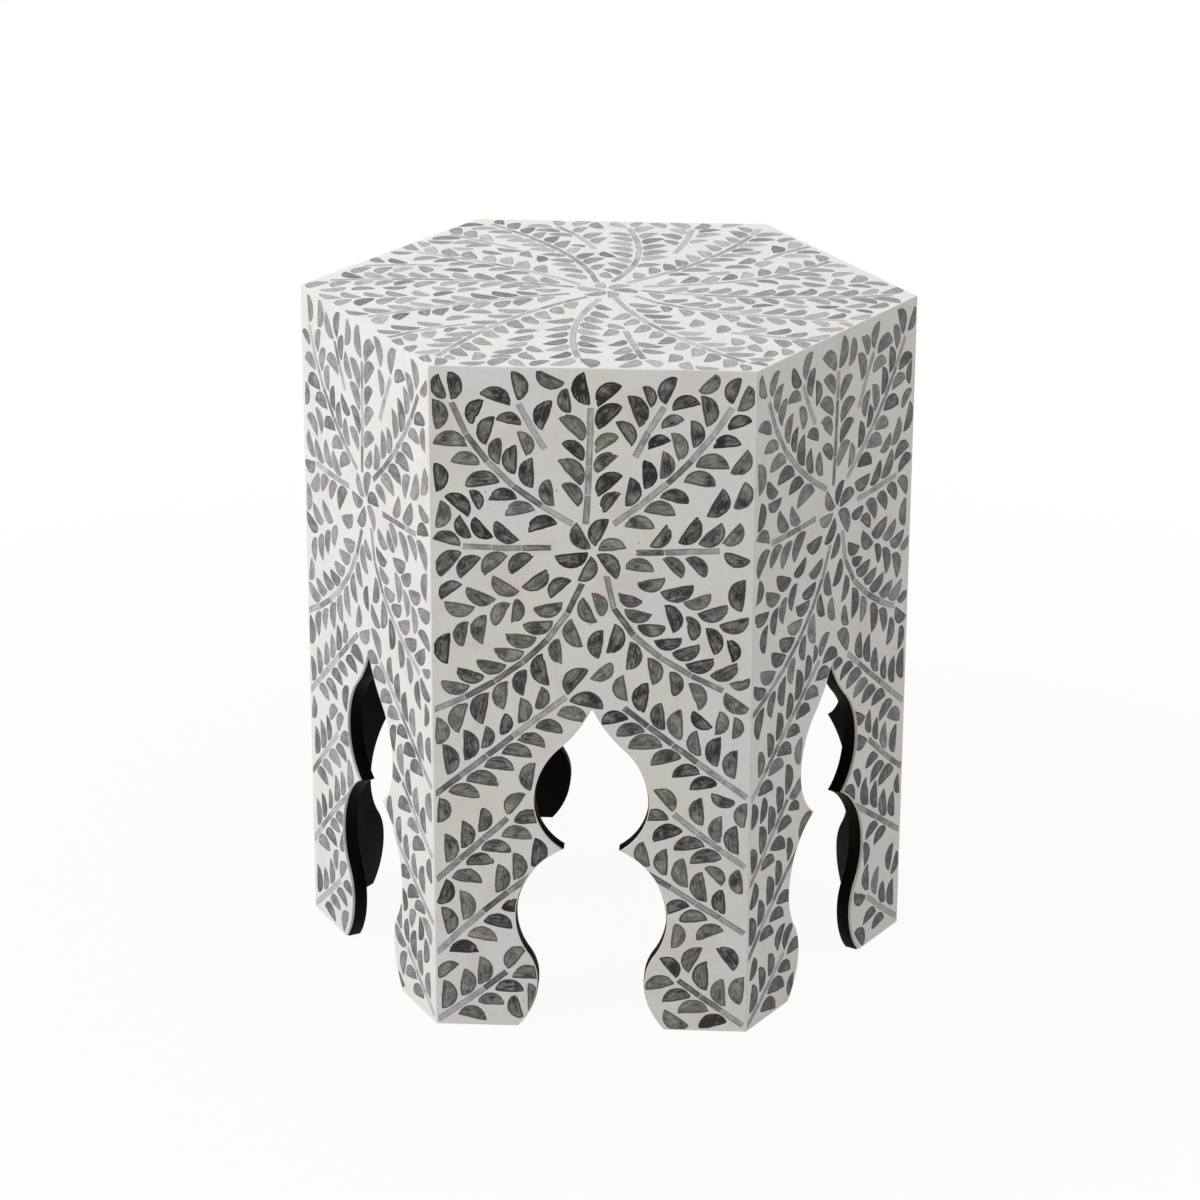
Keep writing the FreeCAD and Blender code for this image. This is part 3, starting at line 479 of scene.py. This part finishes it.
# Where each corner of the shell pieces goes when they are cut by hand instead of by the drawing
def handCut(leaves, stems, resin, seed):
    draw = random.Random(seed)
    drawn = [plan(vertex) for bm in (leaves, stems) for vertex in bm.verts]
    shells = cornerTree(drawn)
    borders = [plan(vertex) for vertex in resin.verts
               if shells.find(plan(vertex))[2] > skin["match"]]
    border = cornerTree(borders)
    moves = []
    for bm, isLeaf in ((leaves, True), (stems, False)):
        for face in upperFaces(bm):
            corners = [plan(vertex) for vertex in face.verts]
            middle = sum(corners, Vector()) / len(corners)
            shifts = [wanderAt(corner, seed) for corner in corners]
            for number, corner in enumerate(corners):
                shifts[number] *= min(1, border.find(corner)[2] / skin["calmReach"])
            if isLeaf:
                wearLeaf(corners, shifts, middle, draw)
            moves += zip(corners, shifts)
    return cornerTree([corner for corner, shift in moves]), [shift for corner, shift in moves]


def wearLeaf(corners, shifts, middle, draw):
    numbers = range(len(corners))
    far = max(numbers, key=lambda number: (corners[number] - middle).length)
    other = max(numbers, key=lambda number: (corners[number] - corners[far]).length)
    for tip in (far, other):
        if draw.random() < leaf["bluntShare"]:
            depth = draw.uniform(*leaf["bluntDepth"])
            pullIn(corners, shifts, middle, tip, depth, leaf["bluntBeside"])
    if draw.random() < leaf["nickShare"]:
        tip = corners[draw.choice((far, other))]
        near = [number for number in numbers if (corners[number] - tip).length < leaf["nickReach"]]
        number = draw.choice(near)
        depth = draw.uniform(*leaf["nickDepth"])
        pullIn(corners, shifts, middle, number, depth, leaf["nickBeside"])


def pullIn(corners, shifts, middle, number, depth, beside):
    # moves a corner towards the middle of the leaf, and its neighbours a part of that way
    count = len(corners)
    apart = [(corner - corners[number]).length for other, corner in enumerate(corners)
             if min((other - number) % count, (number - other) % count) > leaf["biteSteps"]]
    depth = min(depth, min(apart, default=0) * leaf["biteShare"])
    for step, share in ((-1, beside), (0, 1), (1, beside)):
        at = (number + step) % count
        shifts[at] = shifts[at] + (middle - corners[at]).normalized() * depth * share


def moveCorners(bm, tree, shifts):
    pocket = set()
    for vertex in bm.verts:
        corner, number, distance = tree.find(plan(vertex))
        if distance < skin["match"]:
            vertex.co += shifts[number]
            pocket.add(vertex)
    return pocket


def drawIn(face, spine, width):
    # each corner goes towards the line along the middle of the piece, so that no two cross
    middle, along, reach = spine
    for vertex in face.verts:
        lengthwise = (plan(vertex) - middle).dot(along)
        inward = middle + along * max(-reach, min(reach, lengthwise)) - plan(vertex)
        vertex.co += inward * min(width / inward.length, skin["inwardLimit"])


# Rim, slope, grain and tone of every piece of shell in a skin; the leaves' tone also carries
# painted light and shade
def dressShell(bm, look, paintedShadingByHeight, seed):
    draw = random.Random(seed)
    foot = min(vertex.co.y for vertex in bm.verts)
    top = max(vertex.co.y for vertex in bm.verts)
    toneLayer = bm.faces.layers.float.new("tone")
    hueLayer = bm.faces.layers.float.new("hue")
    pieceLayer = bm.faces.layers.int.new("piece")
    rimLayer = bm.verts.layers.float.new("rim")
    grain = bm.loops.layers.uv.new("grain")
    axes = []
    spines = []
    tops = upperFaces(bm)
    for number, face in enumerate(tops):
        corners = [plan(vertex) for vertex in face.verts]
        middle = sum(corners, Vector()) / len(corners)
        far = max(corners, key=lambda corner: (corner - middle).length)
        other = max(corners, key=lambda corner: (corner - far).length)
        along = (other - far).normalized()
        reach = skin["grainReach"]
        away = Vector((draw.uniform(0, reach), draw.uniform(0, reach), 0))
        axes.append((far, along, away))
        spines.append((middle, along, (other - far).length * look["spineShare"]))
        face[pieceLayer] = number
        # painted light and shade: the leaf's tone is shifted lighter or darker from foot to top, as
        # the light falls on this side
        paintedShading = paintedShadingByHeight[0] + (paintedShadingByHeight[1] - paintedShadingByHeight[0]) * (middle.y - foot) / (top - foot)
        face[toneLayer] = look["tone"](draw, paintedShading)
        face[hueLayer] = min(1, max(0, draw.gauss(0.5, look["hueSpread"])))
        slope = Vector((draw.uniform(-1, 1), draw.uniform(-1, 1), 0)) * look["tilt"]
        deepest = max(slope.dot(corner - middle) for corner in corners)
        sink = draw.uniform(*look["sink"]) + deepest
        for vertex in face.verts:
            vertex.co.z += slope.dot(plan(vertex) - middle) - sink
    for vertex in bm.verts:
        vertex[rimLayer] = 1
    before = 1
    for width, level in ((look["rimWidth"], look["rimFall"]), (look["shadeWidth"], 0)):
        bmesh.ops.inset_individual(bm, faces=tops, thickness=0)
        for face in tops:
            drawIn(face, spines[face[pieceLayer]], width)
            for vertex in face.verts:
                vertex[rimLayer] = level
                vertex.co.z += look["rimDip"] * (before - level)
        before = level
    for vertex in bm.verts:
        if vertex.co.z > look["middle"]:
            vertex.co.z -= look["rimDip"]
    for face in bm.faces:
        if face.normal.z > skin["slopeNormal"]:
            start, along, away = axes[face[pieceLayer]]
            across = Vector((-along.y, along.x, 0))
            for loop in face.loops:
                place = (plan(loop.vert) - start) / mm
                loop[grain].uv = (place.dot(along) + away.x, place.dot(across) + away.y)


def leafTone(draw, paintedShading):
    return min(1, max(0, draw.gauss(0.5, leaf["toneSpread"]) + paintedShading))


def stemTone(draw, paintedShading):
    if draw.random() < stem["darkShare"]:
        return draw.uniform(*stem["darkTones"])
    return draw.uniform(*stem["lightTones"])


def roundEdges(bm, edges, width, steps):
    bmesh.ops.bevel(bm, geom=edges, offset=width, offset_type="OFFSET", affect="EDGES",
                    segments=steps, profile=0.5, material=-1, clamp_overlap=False)


def makeSkin(name, lay, panel):
    leaves = flatCopy(name + "_shell_leaves", lay)
    stems = flatCopy(name + "_shell_stems", lay)
    resin = flatCopy(name + "_resin_field", lay)
    face = max(vertex.co.z for vertex in resin.verts)
    back = min(vertex.co.z for vertex in resin.verts)
    for bm in (leaves, stems):
        makeWhole(bm, bm.verts, bm.edges)
    walls = [edge for edge in resin.edges
             if not any(isLevel(side, level) for side in edge.link_faces for level in (face, back))]
    makeWhole(resin, [], walls)
    for bm in (leaves, stems, resin):
        halveOutlines(bm, (face, back))
    tree, shifts = handCut(leaves, stems, resin, panel["seed"])
    for bm in (leaves, stems):
        moveCorners(bm, tree, shifts)
    for level in (face, back):
        openLevel(resin, level)
    pocket = moveCorners(resin, tree, shifts)
    for level, upward in ((face, 1), (back, -1)):
        closeLevel(resin, level, upward)
    middle = (face + back) / 2
    leafWork = {**leaf, "tone": leafTone, "middle": middle}
    stemWork = {**stem, "tone": stemTone, "middle": middle}
    dressShell(leaves, leafWork, panel["paintedShadingByHeight"], panel["seed"])
    dressShell(stems, stemWork, panel["paintedShadingByHeight"], panel["seed"] + 1)
    # every outer edge gets its round but those along the foot and along the top line
    lowest = min(vertex.co.y for vertex in resin.verts) + skin["match"]
    highest = max(vertex.co.y for vertex in resin.verts) - skin["match"]
    rims = [edge for edge in resin.edges if isCorner(edge) and isLevel(edge, face)
            and not any(vertex in pocket for vertex in edge.verts)
            and any(lowest < vertex.co.y < highest for vertex in edge.verts)]
    roundEdges(resin, rims, skin["edgeRound"], skin["edgeSteps"])
    finishPiece(resin, name + "_cast_resin", lay, "resin", name + "_resin_field")
    finishPiece(leaves, name + "_nacre_leaves", lay, "shell_leaf", name + "_shell_leaves")
    finishPiece(stems, name + "_nacre_strips", lay, "shell_stem", name + "_shell_stems")
    print("skin made,", name)


for name, panel in panels.items():
    makeSkin(name, flatten(panel["turn"]), panel)
makeSkin("top", Matrix.Identity(4), tableTop)


board = {
    "edgeRound": 0.5 * mm,
    "edgeSteps": 2,
    "wallNormal": 0.5,  # the walls of the arch and of the holes point up or down less than this
}


def isThrough(side, levels):
    # whether a face has corners on the two levels alone, unlike the blind holes of the screws
    return all(min(abs(vertex.co.z - level) for level in levels) < skin["merge"]
               for vertex in side.verts)


# The boards get the small round that sanding and paint leave on a cut edge
for name, panel in panels.items():
    lay = flatten(panel["turn"])
    bm = flatCopy(name + "_side_board", lay)
    walls = [edge for edge in bm.edges
             if all(abs(side.normal.z) < board["wallNormal"] for side in edge.link_faces)]
    makeWhole(bm, [], walls)
    levels = [pick(vertex.co.z for vertex in bm.verts) for pick in (min, max)]
    sharp = [edge for edge in bm.edges
             if isCorner(edge) and all(isThrough(side, levels) for side in edge.link_faces)]
    roundEdges(bm, sharp, board["edgeRound"], board["edgeSteps"])
    finishPiece(bm, name + "_painted_board", lay, "painted_board", name + "_side_board")
print("boards made")


# Floor, lamps, surroundings and camera

light = {  # metres and watts
    "keyPlace": (-2.35, -1.0, 2.15), "keySize": 1.8, "keyPower": 73, "keyColour": "#F4F8FF",
    "fillPlace": (2.2, -2.6, 1.6), "fillSize": 1.6, "fillPower": 10, "fillColour": "#FFF4E6",
    "backPlace": (-0.5, 2.6, 1.5), "backSize": 2.4, "backPower": 3, "backColour": "#FFFFFF",
    "aim": (0, 0, 0.25),
    "skyLevel": 0.46,  # what the surroundings give a surface, as a share of white
}

floorLook = {
    "radius": 14, "sides": 64, "paper": "#C2C1BF",
    "glowNear": 0.95, "glowFar": 1.0,  # share of plain white, beside the object and far from it
    "glowSpread": (0.3, 1.3),  # where the one starts to turn into the other, and where it ends
}

camera = {
    "azimuth": 3.08,  # degrees to the right of straight ahead
    "elevation": 20.45,
    "roll": 0.2,
    "place": (0.1399, -2.6905, 1.264),
    "lens": 115.1,  # mm, as is the width of the sensor
    "sensor": 36,
    "farthest": 50,
}


def seenDirectly(tree):
    # 1 for what the camera sees, also in a reflection or through glass
    path = addNode(tree, "ShaderNodeLightPath", {}, {})
    seen = addNode(tree, "ShaderNodeMath", {"operation": "MAXIMUM"}, {
        0: path.outputs["Is Camera Ray"], 1: path.outputs["Is Glossy Ray"]})
    through = addNode(tree, "ShaderNodeMath", {"operation": "MAXIMUM"}, {
        0: seen.outputs[0], 1: path.outputs["Is Transmission Ray"]})
    return through.outputs[0]


def paleFloor():
    # White seamless paper. To the camera it glows white, a little less so beside the object, so
    # that the object's soft shadow still shows there.
    material, tree = emptyMaterial("pale_floor")
    place = addNode(tree, "ShaderNodeTexCoord", {}, {}).outputs["Object"]
    distance = addNode(tree, "ShaderNodeVectorMath", {"operation": "LENGTH"}, {0: place})
    glow = addNode(tree, "ShaderNodeMapRange", {"interpolation_type": "SMOOTHSTEP"}, {
        "Value": distance.outputs["Value"], "From Min": floorLook["glowSpread"][0],
        "From Max": floorLook["glowSpread"][1], "To Min": floorLook["glowNear"],
        "To Max": floorLook["glowFar"]})
    share = addNode(tree, "ShaderNodeMath", {"operation": "MULTIPLY"}, {
        0: seenDirectly(tree), 1: glow.outputs[0]})
    paper = addNode(tree, "ShaderNodeBsdfDiffuse", {}, {"Color": linear(floorLook["paper"])})
    white = addNode(tree, "ShaderNodeEmission", {}, {"Color": linear("#FFFFFF"), "Strength": 1.0})
    shader = addNode(tree, "ShaderNodeMixShader", {}, {
        0: share.outputs[0], 1: paper.outputs[0], 2: white.outputs[0]})
    addNode(tree, "ShaderNodeOutputMaterial", {}, {"Surface": shader.outputs[0]})
    return material


def makeFloor():
    bm = bmesh.new()
    bmesh.ops.create_circle(bm, cap_ends=True, radius=floorLook["radius"],
                            segments=floorLook["sides"])
    mesh = bpy.data.meshes.new("floor")
    bm.to_mesh(mesh)
    bm.free()
    floor = bpy.data.objects.new("floor", mesh)
    mesh.materials.append(paleFloor())
    bpy.context.scene.collection.objects.link(floor)


def makeSurroundings():
    world = bpy.data.worlds.new("surroundings")
    world.use_nodes = True
    tree = world.node_tree
    tree.nodes.clear()
    sky = addNode(tree, "ShaderNodeBackground", {}, {
        "Color": linear("#FFFFFF"), "Strength": light["skyLevel"]})
    white = addNode(tree, "ShaderNodeBackground", {}, {
        "Color": linear("#FFFFFF"), "Strength": 1.0})
    mixed = addNode(tree, "ShaderNodeMixShader", {}, {
        0: seenDirectly(tree), 1: sky.outputs[0], 2: white.outputs[0]})
    addNode(tree, "ShaderNodeOutputWorld", {}, {"Surface": mixed.outputs[0]})
    bpy.context.scene.world = world


def makeLamp(name):
    lamp = bpy.data.lights.new(name, "AREA")
    lamp.size = light[name + "Size"]
    lamp.energy = light[name + "Power"]
    lamp.color = linear(light[name + "Colour"])[:3]
    holder = bpy.data.objects.new(name + "Lamp", lamp)
    holder.location = light[name + "Place"]
    towards = Vector(light["aim"]) - holder.location
    holder.rotation_euler = towards.to_track_quat("-Z", "Y").to_euler()
    holder.visible_camera = False
    bpy.context.scene.collection.objects.link(holder)


def makeCamera():
    lens = bpy.data.cameras.new("camera")
    lens.lens = camera["lens"]
    lens.sensor_width = camera["sensor"]
    lens.clip_end = camera["farthest"]
    holder = bpy.data.objects.new("camera", lens)
    turn = Matrix.Rotation(math.radians(camera["azimuth"]), 4, "Z")
    tip = Matrix.Rotation(math.radians(90 - camera["elevation"]), 4, "X")
    roll = Matrix.Rotation(math.radians(camera["roll"]), 4, "Z")
    holder.matrix_world = Matrix.Translation(camera["place"]) @ turn @ tip @ roll
    bpy.context.scene.collection.objects.link(holder)
    bpy.context.scene.camera = holder


makeFloor()
makeSurroundings()
for name in ("key", "fill", "back"):
    makeLamp(name)
makeCamera()
bpy.context.scene.view_settings.view_transform = "Standard"
print("stage, lamps and camera made")
